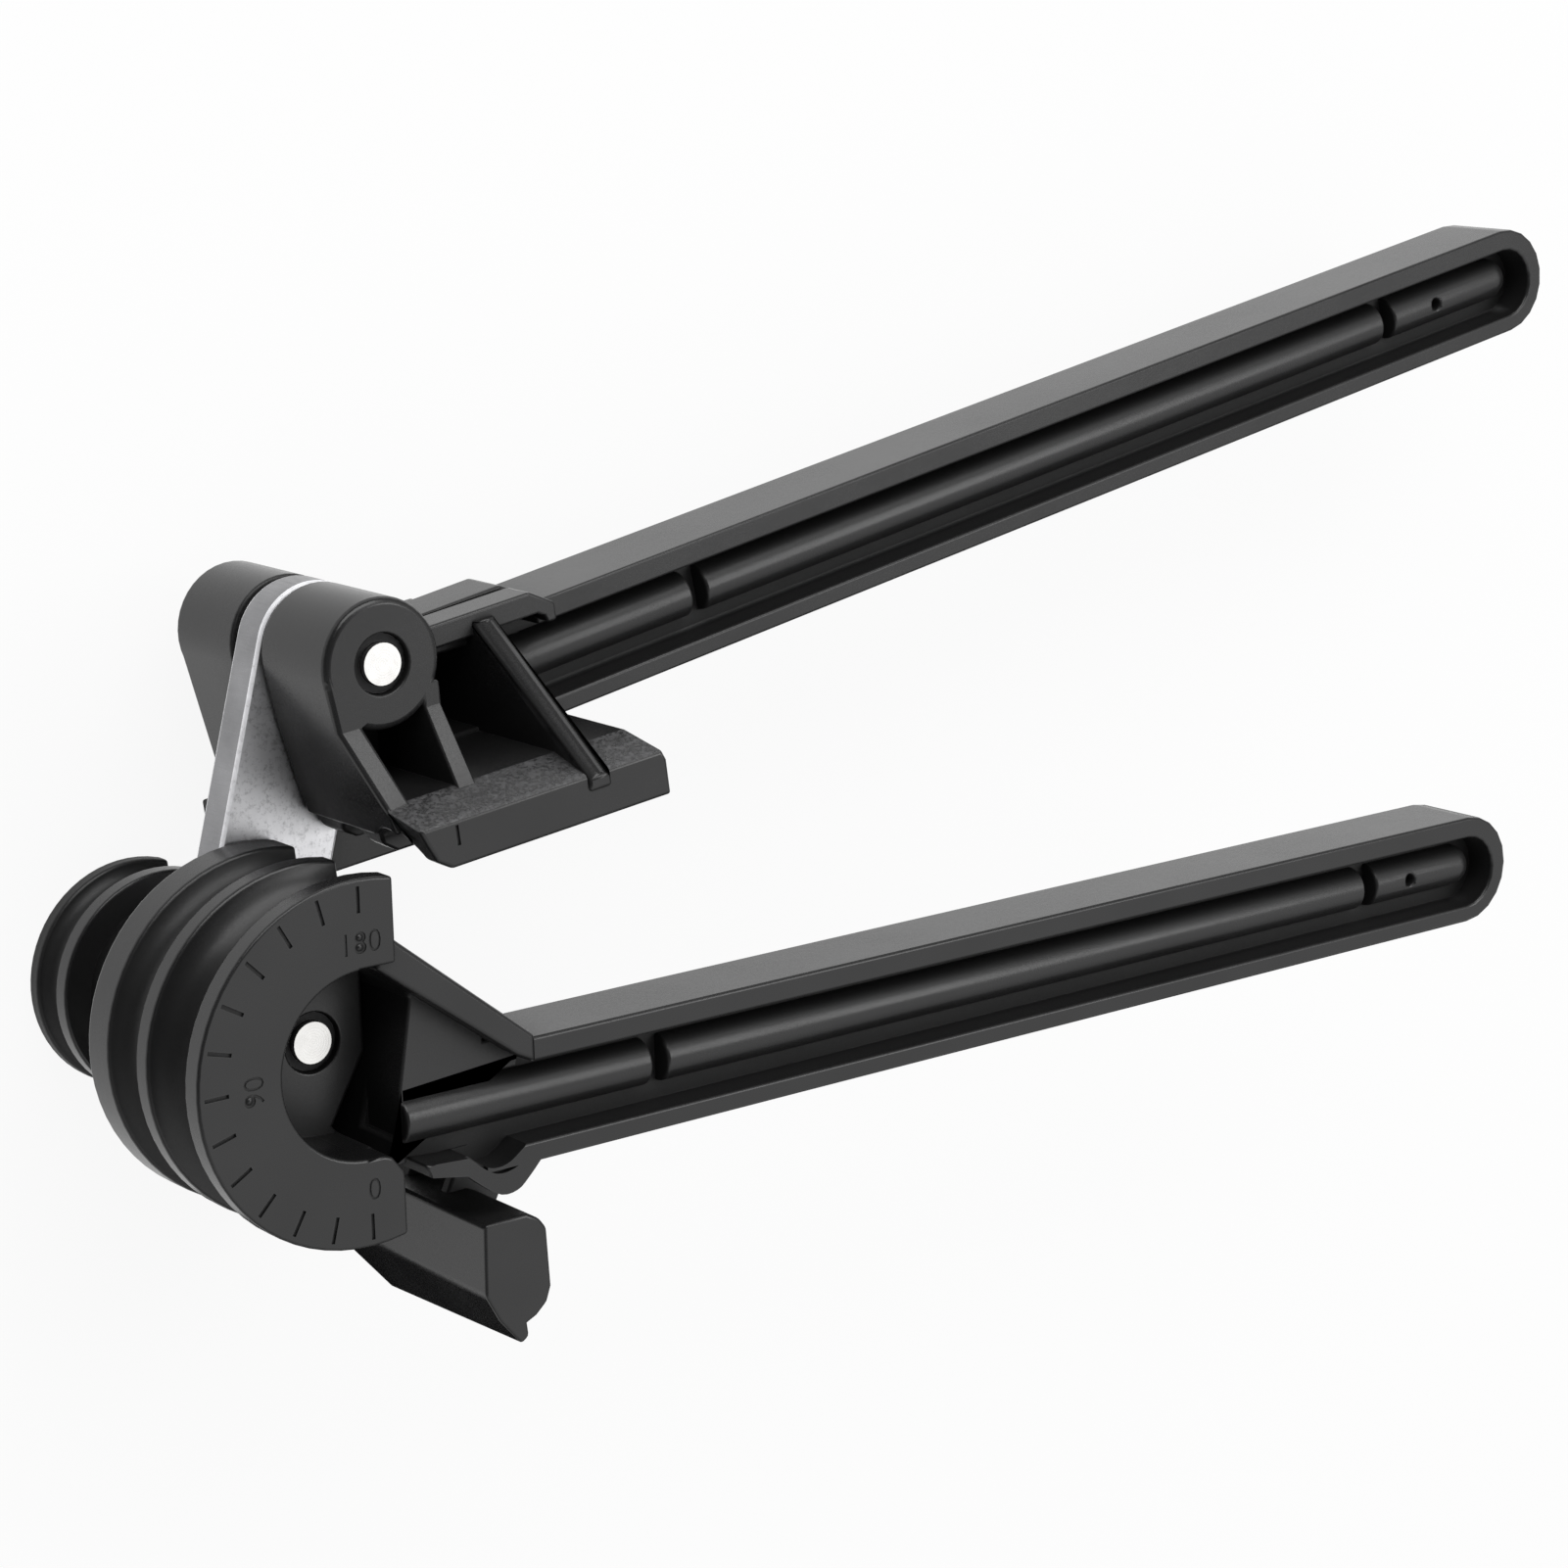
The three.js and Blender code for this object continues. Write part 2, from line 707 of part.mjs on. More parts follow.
function upperHandle() {
  const bar = channelHandle({
    start: upperStart,
    end: upperEnd,
    low: -upperHalf,
    high: upperHalf,
    front: upperFront,
    back: upperBack,
    channel: upperChannelDepth,
    channelStart: upperChannelStart,
    breaks: upperBeadBreaks,
    hole: upperHangHoleX,
  });
  return bar.rotate([0, 0, upperHandleTurn]).translate([0, upperOriginY, 0]);
}

// Deep pocket between the middle rib and the ridge.
function deepPocket() {
  return slab(rect(pocketCut.left, ridge.left, pocketCut.low, pocketCut.high), shoe.slope, pocketFloor);
}

// Space under the roof, where the handle's upper lip is thinner.
function roofSpace() {
  return slab(rect(ridge.right, roofLow.hookIn.x, channelTop - topLip, channelTop),
    roof.front - cutPast, upperFront + upperChannelDepth);
}

// Tube grooves in the undersides of the two shoes.
function shoeGroove(groove, bottom) {
  return rod(shoeLeft.top - cutPast, shoe.right + cutPast, bottom, groove.depth, groove.radius,
    pinFacets);
}

function upperCasting() {
  const front = join(disc(mainAxis, earRadius, earFront, earBack, earFacets), flankWall(),
    middleRib(), ridgeRib(), pocketWall(), roofPlate(), shoeBlock());
  const rear = join(disc(mainAxis, earRadius, rearEarFront, rearEarBack, earFacets), rearWeb());
  const whole = join(front, fork(), rear, upperHandle());
  return cut(
    whole,
    deepPocket(),
    roofSpace(),
    shoeGroove(largeGroove, shoe.bottom),
    shoeGroove(mediumGroove, shoe.bottom),
    shoeGroove(smallGroove, rearShoe.bottom),
    pinBore(mainAxis, pinRadius + fitGap, -cutPast, toolDepth + cutPast),
    pinBore(mainAxis, counterbore.radius, earFront - cutPast, earFront + counterbore.depth),
    pinBore(mainAxis, counterbore.radius, rearEarBack - counterbore.depth, toolDepth + cutPast),
  );
}

// Link between the two pins, upright in its own frame.
function linkPlate() {
  const top = { x: 0, y: pivotSpacing };
  const body = slab([
    ...arc(mainAxis, linkHalfWidth, Math.PI, fullTurn, linkEndSteps),
    ...arc(top, linkHalfWidth, 0, Math.PI, linkEndSteps),
  ], linkFront, linkBack);
  return cut(
    body,
    pinBore(mainAxis, pinRadius + fitGap, linkFront - cutPast, linkBack + cutPast),
    pinBore(top, pinRadius + fitGap, linkFront - cutPast, linkBack + cutPast),
  );
}

// Outline of the latch, with its tab lowered by a drop.
function latchOutline(drop) {
  return [
    { x: latch.left, y: latch.top },
    latch.leftFoot,
    latch.tabLeft,
    { x: latch.tabTip.x, y: latch.tabTip.y - drop },
    { x: latch.tabRight.x, y: latch.tabRight.y - drop },
    latch.neck,
    latch.roundD,
    latch.roundC,
    latch.right,
    latch.roundB,
    latch.roundA,
    latch.shoulder,
  ];
}

// Latch block, its tab a little deeper at the back.
function latchBlock() {
  const length = latchBlockBack - latchFront;
  const shape = outline(latchOutline(0));
  const geometry = new THREE.ExtrudeGeometry(shape, { depth: length, bevelEnabled: false });
  const spots = geometry.getAttribute('position');
  const tabTop = latch.tabRight.y + weld;
  for (let i = 0; i < spots.count; i += 1) {
    const share = 1 - spots.getZ(i) / length;
    if (spots.getY(i) < tabTop) spots.setY(i, spots.getY(i) - latchDrop * share);
  }
  geometry.translate(0, 0, toolDepth - latchBlockBack);
  return solid(geometry);
}

// Rear arm, rising towards the back.
function latchRearArm() {
  const length = toolDepth - latchBlockBack;
  const shape = outline(latchOutline(latchDrop));
  const geometry = new THREE.ExtrudeGeometry(shape, { depth: length, bevelEnabled: false });
  const spots = geometry.getAttribute('position');
  for (let i = 0; i < spots.count; i += 1) {
    const share = 1 - spots.getZ(i) / length;
    spots.setY(i, spots.getY(i) + latchRise * share);
  }
  return solid(geometry);
}

function tubeLatch() {
  const necks = [latchNeckFront, latchNeckRear].map((neck) => arm(latchNeckFoot,
    latchNeckFoot.halfWidth, latchPivot, latchRing, neck.from, neck.to));
  const bore = pinBore(latchPivot, latchPinRadius + fitGap, -cutPast, toolDepth + cutPast);
  return cut(join(latchBlock(), latchRearArm(), ...necks), bore);
}

// Ring with a hole, such as a washer or a retaining ring.
function ringAt(centre, outer, inner, from, to) {
  return cut(disc(centre, outer, from, to, pinFacets),
    disc(centre, inner, from - cutPast, to + cutPast, pinFacets));
}

function latchPinBody() {
  return join(disc(latchPivot, latchPinRadius, latchHead.from, latchPinBack, pinFacets),
    disc(latchPivot, latchHead.radius, latchHead.from, latchHead.to, pinFacets));
}

function mesh(name, body, look) {
  const made = new THREE.Mesh(geometryOf(body), new THREE.MeshStandardMaterial(look));
  made.name = name;
  return made;
}

// Rings and the pin of one pivot, with the pin's own depth range.
function pivotSet(name, front, back) {
  const frontSeat = front + counterbore.depth;
  const rearSeat = back - counterbore.depth;
  const inner = pinRadius + seatGap;
  return [
    mesh(name + '_pin', disc(mainAxis, pinRadius, front, back, pinFacets), steel),
    mesh(name + '_front_ring',
      ringAt(mainAxis, retainer.radius, inner, frontSeat - retainer.thickness, frontSeat), blackSteel),
    mesh(name + '_rear_ring',
      ringAt(mainAxis, retainer.radius, inner, rearSeat + fitGap, rearSeat + fitGap + retainer.thickness),
      blackSteel),
  ];
}

function thrustWasher(name) {
  return mesh(name, ringAt(mainAxis, washer.radius, pinRadius + fitGap, washer.from, washer.to), steel);
}

// Lower assembly, which carries everything else.
const bender = new THREE.Group();
bender.add(mesh('lower_casting', lowerCasting(), paint));
bender.add(...pivotSet('main', bossDepth, mainPinBack));
bender.add(thrustWasher('main_washer'));

// Latch and its hinge pin.
bender.add(mesh('tube_latch', tubeLatch(), darkPaint));
bender.add(mesh('latch_pin', latchPinBody(), steel));
bender.add(mesh('latch_pin_clip',
  ringAt(latchPivot, latchClip.radius, latchPinRadius + seatGap, latchClip.from, latchClip.to),
  blackSteel));

// Link, leaning clockwise from straight up.
const link = new THREE.Group();
link.rotation.z = THREE.MathUtils.degToRad(-linkLean);
link.add(mesh('link_plate', linkPlate(), chrome));
bender.add(link);

// Upper casting at the link's far pin, with its own turn.
const upper = new THREE.Group();
const lean = THREE.MathUtils.degToRad(linkLean);
upper.position.set(pivotSpacing * Math.sin(lean), pivotSpacing * Math.cos(lean), 0);
upper.rotation.z = THREE.MathUtils.degToRad(shoeTurn);
upper.add(mesh('upper_casting', upperCasting(), paint));
upper.add(...pivotSet('upper', earFront, upperPinBack));
upper.add(thrustWasher('upper_washer'));
bender.add(upper);

export default bender;
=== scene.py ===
"""Hand tube bender on its back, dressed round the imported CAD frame."""

import math

import bmesh
import bpy
from mathutils import Matrix, Vector


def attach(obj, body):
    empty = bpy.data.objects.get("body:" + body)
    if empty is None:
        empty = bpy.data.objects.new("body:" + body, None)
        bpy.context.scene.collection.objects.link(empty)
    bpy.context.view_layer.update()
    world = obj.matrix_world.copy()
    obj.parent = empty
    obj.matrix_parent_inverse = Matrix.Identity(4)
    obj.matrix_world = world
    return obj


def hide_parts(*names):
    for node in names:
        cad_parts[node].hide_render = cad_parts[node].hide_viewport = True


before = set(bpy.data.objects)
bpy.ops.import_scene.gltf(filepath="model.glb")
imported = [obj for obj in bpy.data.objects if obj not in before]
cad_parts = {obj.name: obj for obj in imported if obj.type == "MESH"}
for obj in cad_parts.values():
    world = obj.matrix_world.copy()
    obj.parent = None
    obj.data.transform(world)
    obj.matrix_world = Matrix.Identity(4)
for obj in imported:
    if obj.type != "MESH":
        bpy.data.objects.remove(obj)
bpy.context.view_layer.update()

# Sizes and places are in mm times MM, or in plain mm in the frames of the pieces.
MM = 0.001
QUARTER = math.pi / 2
DIAL_TOP = 57.5 * MM
HANDLE_TURN = math.radians(3.6)
LINK_TURN = math.radians(-15.3)
SHOE_TURN = math.radians(7)
WHEEL_FRAME = Matrix.Identity(4)
LINK_FRAME = Matrix.Rotation(LINK_TURN, 4, "Z")
SHOE_FRAME = Matrix.Translation((12.56036 * MM, 45.91293 * MM, 0)) @ Matrix.Rotation(SHOE_TURN, 4, "Z")
PIN_AXES = {"main": (0, 0), "upper": (0.01256, 0.045913), "latch": (0.03, -0.0126)}

# Tolerances in mm, and the angles that part flat faces from sharp edges.
SAME_SPOT = 0.002
ON_PLANE = 0.01
NEAR = 0.05
FLAT_ANGLE = math.radians(0.6)
EDGE_ANGLE = math.radians(28)
FACES_UP = 0.9

# Camera, as solved from the photograph.
CAMERA_PLACE = (-0.2447976, 0.1432669, 0.4598839)
CAMERA_RIGHT = (0.78920901, -0.02166377, 0.61374247)
CAMERA_DOWN = (-0.15650316, -0.97347629, 0.16688521)
CAMERA_AHEAD = (0.59384838, -0.22775995, -0.77166671)
LENS = 92.624
SENSOR = 36
NEAREST_SEEN = 0.01
FARTHEST_SEEN = 20


def make_camera():
    data = bpy.data.cameras.new("photo_camera")
    data.sensor_fit = "HORIZONTAL"
    data.sensor_width = SENSOR
    data.lens = LENS
    data.clip_start = NEAREST_SEEN
    data.clip_end = FARTHEST_SEEN
    camera = bpy.data.objects.new("photo_camera", data)
    right, up, back = Vector(CAMERA_RIGHT), -Vector(CAMERA_DOWN), -Vector(CAMERA_AHEAD)
    turn = Matrix((right, up, back)).transposed().to_4x4()
    camera.matrix_world = Matrix.Translation(CAMERA_PLACE) @ turn
    bpy.context.scene.collection.objects.link(camera)
    bpy.context.scene.camera = camera


# Node helpers. Most values of a noise lie within BAND.
BAND = (0.3, 0.7)
NARROW_BAND = (0.35, 0.65)
SHADE_SAMPLES = 6


class Nodes:
    """The node tree of a material or a world, with short calls to add and join nodes."""

    def __init__(self, owner, output):
        owner.use_nodes = True
        self.owner = owner
        self.tree = owner.node_tree
        self.tree.nodes.clear()
        self.output = self.add(output)
        self.place = self.add("ShaderNodeTexCoord").outputs

    def add(self, kind, inputs=None, **settings):
        node = self.tree.nodes.new(kind)
        for key, value in settings.items():
            setattr(node, key, value)
        for key, value in (inputs or {}).items():
            self.feed(node.inputs[key], value)
        return node

    def feed(self, socket, value):
        if isinstance(value, bpy.types.NodeSocket):
            self.tree.links.new(value, socket)
        else:
            socket.default_value = value

    def noise(self, scale, detail=2.0, roughness=0.5, vector=None):
        node = self.add("ShaderNodeTexNoise", {"Vector": vector or self.place["Object"], "Scale": scale,
                                               "Detail": detail, "Roughness": roughness})
        return node.outputs["Fac"]

    def span(self, value, low, high, to_low=0.0, to_high=1.0):
        node = self.add("ShaderNodeMapRange", {"Value": value, "From Min": low, "From Max": high,
                                               "To Min": to_low, "To Max": to_high})
        return node.outputs["Result"]

    def maths(self, operation, first, second):
        return self.add("ShaderNodeMath", {0: first, 1: second}, operation=operation).outputs[0]

    def dot(self, first, second):
        node = self.add("ShaderNodeVectorMath", {0: first, 1: second}, operation="DOT_PRODUCT")
        return node.outputs["Value"]

    def blend(self, share, first, second):
        node = self.add("ShaderNodeMix", data_type="RGBA")
        self.feed(node.inputs["Factor"], share)
        self.feed(node.inputs[6], first)
        self.feed(node.inputs[7], second)
        return node.outputs[2]

    def mix(self, share, first, second):
        """Shader that turns from the first to the second as the share grows."""
        return self.add("ShaderNodeMixShader", {0: share, 1: first, 2: second}).outputs[0]

    def bump(self, height, strength, distance, normal=None):
        inputs = {"Height": height, "Strength": strength, "Distance": distance}
        if normal is not None:
            inputs["Normal"] = normal
        return self.add("ShaderNodeBump", inputs).outputs["Normal"]

    def edges(self, radius, low, high):
        """1 on the sharp outer edges, 0 on the open faces."""
        rounded = self.add("ShaderNodeBevel", {"Radius": radius}, samples=SHADE_SAMPLES).outputs["Normal"]
        plain = self.add("ShaderNodeNewGeometry").outputs["Normal"]
        return self.span(self.dot(rounded, plain), high, low)

    def openness(self, distance):
        """1 on open faces, falling towards 0 in narrow recesses."""
        node = self.add("ShaderNodeAmbientOcclusion", {"Distance": distance}, samples=SHADE_SAMPLES)
        return node.outputs["AO"]

    def show(self, shader):
        self.feed(self.output.inputs["Surface"], shader)
        return self.owner

    def finish(self, **sockets):
        shader = self.add("ShaderNodeBsdfPrincipled")
        for key, value in sockets.items():
            self.feed(shader.inputs[key.replace("_", " ")], value)
        return self.show(shader.outputs["BSDF"])


def material_nodes(name):
    return Nodes(bpy.data.materials.new(name), "ShaderNodeOutputMaterial")


def grey(value):
    """Neutral tone with a trace of blue."""
    return (value, value, value * 1.03, 1.0)


# Materials. Greys are linear, and lengths in mm.
RECESS_REACH = 8
OPEN_SHARES = (0.50, 0.95)
# Edges lightened in patches: partly rubbed coat, partly a painted highlight standing for the light the
# edges catch.
EDGE_WEAR_HIGHLIGHT_WIDTH = 0.35
RING_EDGE_WEAR_HIGHLIGHT_WIDTH = 0.15
EDGE_WEAR_HIGHLIGHT_SHARES = (0.80, 0.97)
EDGE_WEAR_HIGHLIGHT_GREY = 0.09
EDGE_WEAR_HIGHLIGHT_SHARE = 0.25
PIT_LIFT = 3
PLATE_DARK, PLATE_LIGHT = (0.80, 0.80, 0.82, 1), (0.90, 0.90, 0.92, 1)
STEEL_DARK, STEEL_LIGHT = (0.80, 0.79, 0.77, 1), (0.90, 0.89, 0.87, 1)
DRAWN_OUT = 0.04
DRAWN_UP = 0.08


def powder_coat(name, darkest, lightest, pits):
    """Fine black powder coat: orange peel, speckle, duller and darkened with painted shade in the recesses,
    rubbed and lightened with a painted highlight on the edges.
    """
    n = material_nodes(name)
    orange_peel = n.noise(scale=900, detail=3.0)
    speckle = n.noise(scale=4200, detail=2.0)
    cloud = n.noise(scale=55, detail=3.0)
    pitting = n.span(n.noise(scale=1500, detail=4.0, roughness=0.7), low=0.42, high=0.60)
    open_face = n.span(n.openness(RECESS_REACH * MM), *OPEN_SHARES)
    patches = n.span(n.noise(scale=350, detail=4.0), *NARROW_BAND)
    # Edge mask for wear and a painted highlight, broken into patches.
    wear_and_highlight = n.maths("MULTIPLY", n.edges(EDGE_WEAR_HIGHLIGHT_WIDTH * MM, *EDGE_WEAR_HIGHLIGHT_SHARES), patches)
    painted_recess_shade, recess_dulling = (0.8, 0.15) if pits else (0.3, 0.42)

    base = n.blend(n.span(cloud, *NARROW_BAND), grey(darkest), grey(lightest))
    base = n.blend(n.maths("MULTIPLY", pitting, pits), base, grey(lightest * PIT_LIFT))
    # Painted shade: the colour darkens where ambient occlusion finds a recess.
    base = n.blend(open_face, grey(darkest * painted_recess_shade), base)
    base = n.blend(n.maths("MULTIPLY", wear_and_highlight, EDGE_WEAR_HIGHLIGHT_SHARE), base, grey(EDGE_WEAR_HIGHLIGHT_GREY))
    rough = n.span(cloud, *BAND, to_low=0.20, to_high=0.26)
    rough = n.maths("ADD", rough, n.span(speckle, *BAND, to_low=-0.03, to_high=0.05))
    rough = n.maths("ADD", rough, n.span(open_face, 0, 1, to_low=recess_dulling, to_high=0))
    rough = n.maths("ADD", rough, n.maths("MULTIPLY", pitting, pits * 0.3))
    normal = n.bump(orange_peel, strength=0.30, distance=0.035 * MM)
    normal = n.bump(speckle, strength=0.30, distance=0.012 * MM, normal=normal)
    if pits:
        normal = n.bump(pitting, strength=pits, distance=0.10 * MM, normal=normal)
    return n.finish(Base_Color=base, Roughness=rough, Normal=normal)


def link_chrome():
    """Satin bright plating with faint lengthwise polishing lines and dark specks."""
    n = material_nodes("link_chrome")
    along = n.add("ShaderNodeMapping", {"Vector": n.place["Object"], "Rotation": (0, 0, -LINK_TURN),
                                        "Scale": (1, DRAWN_OUT, 1)}).outputs["Vector"]
    lines = n.noise(scale=5200, detail=2.0, vector=along)
    cloud = n.noise(scale=120, detail=2.0)
    grain = n.noise(scale=2600, detail=3.0)
    specks = n.span(n.noise(scale=1300, detail=4.0, roughness=0.7), low=0.50, high=0.68, to_high=0.5)
    base = n.blend(n.span(cloud, *BAND), PLATE_DARK, PLATE_LIGHT)
    base = n.blend(specks, base, grey(0.3))
    rough = n.span(lines, *BAND, to_low=0.34, to_high=0.42)
    rough = n.maths("ADD", rough, n.span(cloud, *BAND, to_high=0.06))
    normal = n.bump(lines, strength=0.12, distance=0.004 * MM)
    normal = n.bump(grain, strength=0.35, distance=0.03 * MM, normal=normal)
    return n.finish(Base_Color=base, Metallic=1.0, Roughness=rough, Normal=normal)


def link_sides():
    """Blanked sides of the link under the plating, with the press's upright draw lines."""
    n = material_nodes("link_sides")
    upright = n.add("ShaderNodeMapping", {"Vector": n.place["Object"], "Scale": (1, 1, DRAWN_UP)})
    lines = n.noise(scale=3800, detail=3.0, vector=upright.outputs["Vector"])
    base = n.blend(n.span(n.noise(scale=150, detail=3.0), *BAND), grey(0.24), grey(0.33))
    rough = n.span(lines, *BAND, to_low=0.24, to_high=0.40)
    normal = n.bump(lines, strength=0.3, distance=0.01 * MM)
    return n.finish(Base_Color=base, Metallic=1.0, Roughness=rough, Normal=normal)


def link_edge_highlight():
    """Rounded edges of the link, with a painted highlight: a near-white, nearly non-metal colour that
    stands for the light they catch.
    """
    n = material_nodes("link_edge_highlight")
    grain = n.noise(scale=900, detail=3.0)
    base = n.blend(n.span(grain, *BAND), grey(0.78), grey(0.97))
    rough = n.span(grain, *BAND, to_low=0.25, to_high=0.35)
    return n.finish(Base_Color=base, Metallic=0.1, Roughness=rough)


def turned_steel(name, axis):
    """Bright turned steel with faint rings about the pin's own axis."""
    n = material_nodes(name)
    centred = n.add("ShaderNodeMapping", {"Vector": n.place["Object"], "Scale": (1, 1, 0),
                                          "Location": (-axis[0], -axis[1], 0)}).outputs["Vector"]
    wave = n.add("ShaderNodeTexWave", {"Vector": centred, "Scale": 900, "Distortion": 0.6, "Detail": 2},
                 wave_type="RINGS", rings_direction="Z")
    rings = wave.outputs["Fac"]
    cloud = n.noise(scale=600, detail=3.0)
    base = n.blend(n.span(cloud, *BAND), STEEL_DARK, STEEL_LIGHT)
    rough = n.span(rings, 0, 1, to_low=0.20, to_high=0.30)
    rough = n.maths("ADD", rough, n.span(cloud, *BAND, to_high=0.06))
    normal = n.bump(rings, strength=0.15, distance=0.006 * MM)
    return n.finish(Base_Color=base, Metallic=1.0, Roughness=rough, Normal=normal)


def black_steel():
    """Oil-blackened spring steel of the retaining rings."""
    n = material_nodes("black_steel")
    grain = n.noise(scale=2400, detail=3.0)
    patches = n.span(grain, low=0.4, high=0.6)
    # Edges lightened in patches: partly wear, partly a painted highlight.
    wear_and_highlight = n.maths("MULTIPLY", n.edges(RING_EDGE_WEAR_HIGHLIGHT_WIDTH * MM, *EDGE_WEAR_HIGHLIGHT_SHARES), patches)
    base = n.blend(wear_and_highlight, grey(0.012), grey(0.10))
    rough = n.span(grain, *BAND, to_low=0.35, to_high=0.5)
    normal = n.bump(grain, strength=0.2, distance=0.01 * MM)
    return n.finish(Base_Color=base, Metallic=0.7, Roughness=rough, Normal=normal)


# Rounded edges, in mm.
WIDEST_ROUND = 1.6
PLAIN_ROUND = 0.38
FILLET = 0.6
ROUND_SEGMENTS = 3

# Where the pieces' own rounds are, in mm in the frames of the pieces.
BORED_DEPTH = 12.2
COUNTERBORE = 4.2
BORE_ROUND = 0.25
BOSS_ROUND = 0.6
EAR_ROUND = 0.9
GUSSET_DEPTH = 1.2
GUSSET_ROUND = 0.6
WAVE_START, WAVE_END, WAVE_TOP, WAVE_DEPTH = 9, 26.2, -15, 6.3
RIDGE_SIDES = (19.6, 23.1)
RIDGE_LENGTH, RIDGE_DEPTH, RIDGE_ROUND = 10, 21.5, 1.5
RIB_ROOT_LEFT, RIB_ROOT_TOP, RIB_ROOT_ROUND = 5, -3.95, 0.15
LIP_DEPTH, LIP_END, LIP_ROUND = 0.5, 33, 0.5
LATCH_UPRIGHT, LATCH_ROUND = 5, 0.6
LOWER_FOOT, LOWER_FLOOR = -15.7, 6.2
UPPER_FOOT, UPPER_FLOOR, UPPER_ROOT = -5.4, 29, 11.46


def lower_rounds(a, b):
    in_wave = min(a.x, b.x) > WAVE_START and max(a.x, b.x) < WAVE_END and max(a.y, b.y) < WAVE_TOP
    if in_wave and max(a.z, b.z) < WAVE_DEPTH:
        return 0
    if both_at(a, b, BORED_DEPTH):
        return BORE_ROUND if max(a.xy.length, b.xy.length) < COUNTERBORE else BOSS_ROUND
    return GUSSET_ROUND if both_at(a, b, GUSSET_DEPTH) else PLAIN_ROUND


def upper_rounds(a, b):
    along_ridge = min(abs(a.x - side) + abs(b.x - side) for side in RIDGE_SIDES) < 2 * NEAR
    if along_ridge and abs(a.y - b.y) > RIDGE_LENGTH and max(a.z, b.z) < RIDGE_DEPTH:
        return RIDGE_ROUND
    if both_at(a, b, BORED_DEPTH):
        if min(a.x, b.x) > RIB_ROOT_LEFT and max(a.y, b.y) < RIB_ROOT_TOP:
            return RIB_ROOT_ROUND
        return BORE_ROUND if max(a.xy.length, b.xy.length) < COUNTERBORE else EAR_ROUND
    return LIP_ROUND if max(a.z, b.z) < LIP_DEPTH and min(a.x, b.x) < LIP_END else PLAIN_ROUND


def latch_rounds(a, b):
    return LATCH_ROUND if abs(a.z - b.z) > LATCH_UPRIGHT else PLAIN_ROUND


def both_at(a, b, depth):
    return abs(a.z - depth) < NEAR and abs(b.z - depth) < NEAR


def is_fillet(own_frame, a, b):
    """True for the foot of a handle channel's lower wall."""
    if own_frame == WHEEL_FRAME:
        return max(abs(a.y - LOWER_FOOT), abs(b.y - LOWER_FOOT)) < NEAR and both_at(a, b, LOWER_FLOOR)
    if own_frame == SHOE_FRAME:
        feet = [(p.y + UPPER_ROOT) * math.cos(HANDLE_TURN) - p.x * math.sin(HANDLE_TURN) for p in (a, b)]
        return max(abs(foot - UPPER_FOOT) for foot in feet) < NEAR and both_at(a, b, UPPER_FLOOR)
    return False


def weigh_edges(bm, own_frame, round_of):
    """Gives each sharp outer edge the size of its round, read in the piece's own frame in mm."""
    layer = bm.edges.layers.float.new("bevel_weight_edge")
    back = own_frame.inverted()
    for edge in bm.edges:
        if len(edge.link_faces) != 2:
            continue
        angle = edge.calc_face_angle_signed(0.0)
        spots = [back @ vert.co for vert in edge.verts]
        ends = [Vector((p.x, p.y, DIAL_TOP - p.z)) / MM for p in spots]
        if angle > EDGE_ANGLE:
            edge[layer] = round_of(*ends) / WIDEST_ROUND
        elif angle < -EDGE_ANGLE and is_fillet(own_frame, *ends):
            edge[layer] = FILLET / WIDEST_ROUND


def round_edges(piece, material_index=-1):
    rounds = piece.modifiers.new("rounded_edges", "BEVEL")
    rounds.material = material_index
    rounds.width = WIDEST_ROUND * MM
    rounds.segments = ROUND_SEGMENTS
    rounds.limit_method = "WEIGHT"
    rounds.use_clamp_overlap = False
    rounds.miter_outer = "MITER_ARC"


def even_faces(piece):
    """Keeps the flat faces flat where they meet the rounded edges."""
    flats = piece.modifiers.new("even_faces", "WEIGHTED_NORMAL")
    flats.keep_sharp = True


def shade_by_angle(bm):
    for face in bm.faces:
        face.smooth = True
    for edge in bm.edges:
        edge.smooth = len(edge.link_faces) == 2 and edge.calc_face_angle(0.0) < EDGE_ANGLE


# Castings.
def new_piece(name, bm, materials, body, node):
    mesh = bpy.data.meshes.new(name)
    bm.to_mesh(mesh)
    bm.free()
    piece = bpy.data.objects.new(name, mesh)
    bpy.context.scene.collection.objects.link(piece)
    for material in materials:
        mesh.materials.append(material)
    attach(piece, body)
    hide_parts(node)
    return piece


def bare_casting(node, own_frame):
    """Merged copy of a CAD node's mesh, its flat faces whole but for one straight cut through each bore."""
    bm = bmesh.new()
    bm.from_mesh(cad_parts[node].data)
    bmesh.ops.remove_doubles(bm, verts=bm.verts, dist=SAME_SPOT * MM)
    bmesh.ops.dissolve_limit(bm, angle_limit=FLAT_ANGLE, verts=bm.verts, edges=bm.edges)
    level = DIAL_TOP - BORED_DEPTH * MM
    bored = [face for face in bm.faces
             if face.normal.z > FACES_UP and abs(face.calc_center_median().z - level) < NEAR * MM]
    around = {item for face in bored for item in (*face.verts, *face.edges)}
    split = bmesh.ops.bisect_plane(bm, geom=[*bored, *around], dist=ON_PLANE * MM,
                                   plane_co=own_frame.translation, plane_no=own_frame.col[1].xyz)
    for item in split["geom_cut"]:
        if isinstance(item, bmesh.types.BMEdge):
            item.seam = True
    bmesh.ops.dissolve_limit(bm, angle_limit=FLAT_ANGLE, verts=bm.verts, edges=bm.edges, delimit={"SEAM"})
    return bm


